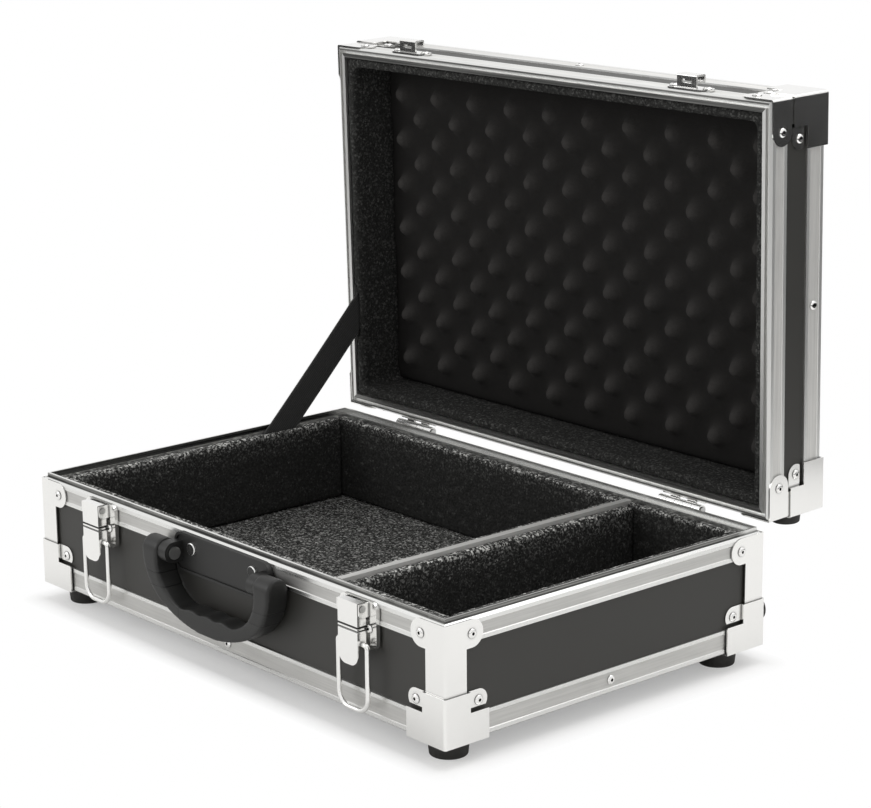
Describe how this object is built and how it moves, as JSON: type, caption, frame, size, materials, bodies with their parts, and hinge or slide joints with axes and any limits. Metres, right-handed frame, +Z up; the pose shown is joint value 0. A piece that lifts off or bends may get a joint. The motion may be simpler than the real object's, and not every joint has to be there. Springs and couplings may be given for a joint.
{
  "type": "dj case",
  "caption": "Open carrying case for sound equipment: panelled base and hinged lid in metal profiles, draw latches, folding handle, lid strap, foam lining and a divider.",
  "frame": {"origin": "centre of the base panel's underside", "axes": "+X to the case's right, +Y from the latches to the hinges, +Z up; the lid stands open at rest"},
  "size_m": [0.503, 0.4049, 0.4407],
  "materials": {
    "laminate": "black smooth laminate over board",
    "aluminium": "extruded with bright ribs and a brushed band",
    "chrome_sheet": "bright plated sheet steel",
    "rivet_steel": "bright",
    "zinc_steel": "satin plated",
    "rubber": "matt",
    "foam": "soft speckled foam",
    "board": "black board",
    "webbing": "woven tape",
    "moulded_black": "satin moulded"
  },
  "bodies": {
    "base": {"base_bottom_panel": "laminate", "base_front_panel": "laminate", "base_back_panel": "laminate", "base_left_panel": "laminate", "base_right_panel": "laminate", "base_front_rim": "aluminium", "base_back_rim": "aluminium", "base_left_rim": "aluminium", "base_right_rim": "aluminium", "base_long_edgings": "aluminium", "base_short_edgings": "aluminium", "base_corner_covers": "chrome_sheet", "base_box_corners": "chrome_sheet", "hinge_base_leaves": "chrome_sheet", "base_rivets": "rivet_steel", "base_foot_screws": "rivet_steel", "base_back_feet": "rubber", "bottom_feet": "rubber", "base_foam_floor": "foam", "base_foam_front": "foam", "base_foam_back": "foam", "base_foam_left": "foam", "base_foam_right": "foam", "divider_foam": "foam", "divider_board": "board", "divider_channel": "aluminium", "hinge_pins": "zinc_steel", "latch_pins": "zinc_steel", "handle_pins": "zinc_steel", "handle_screws": "zinc_steel", "left_latch_plate": "chrome_sheet", "right_latch_plate": "chrome_sheet", "handle_plate": "moulded_black"},
    "lid": {"lid_top_panel": "laminate", "lid_front_panel": "laminate", "lid_back_panel": "laminate", "lid_left_panel": "laminate", "lid_right_panel": "laminate", "lid_front_rim": "aluminium", "lid_back_rim": "aluminium", "lid_left_rim": "aluminium", "lid_right_rim": "aluminium", "lid_long_edgings": "aluminium", "lid_short_edgings": "aluminium", "lid_corner_covers": "chrome_sheet", "lid_box_corners": "chrome_sheet", "hinge_lid_leaves": "chrome_sheet", "lid_rivets": "rivet_steel", "lid_foot_screws": "rivet_steel", "lid_back_feet": "rubber", "lid_foam_border": "foam", "lid_eggcrate_foam": "foam", "left_keeper": "chrome_sheet", "right_keeper": "chrome_sheet", "lid_strap": "webbing"},
    "handle": {"handle_grip": "moulded_black"},
    "left_lever": {"left_lever": "chrome_sheet"},
    "right_lever": {"right_lever": "chrome_sheet"},
    "left_bail": {"left_bail": "chrome_sheet"},
    "right_bail": {"right_bail": "chrome_sheet"}
  },
  "joints": [
    {"name": "lid_hinge", "type": "hinge", "parent": "base", "child": "lid", "pos_m": [0, 0.1649, 0.0875], "axis": [1, 0, 0], "range_deg": [0, 88.7], "deforming": ["lid_strap"]},
    {"name": "handle_pivot", "type": "hinge", "parent": "base", "child": "handle", "pos_m": [0, -0.1702, 0.0709], "axis": [-1, 0, 0], "range_deg": [0, 100]},
    {"name": "left_lever_pivot", "type": "hinge", "parent": "base", "child": "left_lever", "pos_m": [-0.1608, -0.1686, 0.0818], "axis": [1, 0, 0], "range_deg": [-150, 0]},
    {"name": "left_bail_pivot", "type": "hinge", "parent": "left_lever", "child": "left_bail", "pos_m": [-0.1608, -0.1676, 0.0554], "axis": [-1, 0, 0], "range_deg": [0, 180]},
    {"name": "right_lever_pivot", "type": "hinge", "parent": "base", "child": "right_lever", "pos_m": [0.1608, -0.1686, 0.0818], "axis": [1, 0, 0], "range_deg": [-150, 0]},
    {"name": "right_bail_pivot", "type": "hinge", "parent": "right_lever", "child": "right_bail", "pos_m": [0.1608, -0.1676, 0.0554], "axis": [-1, 0, 0], "range_deg": [0, 180]}
  ]
}
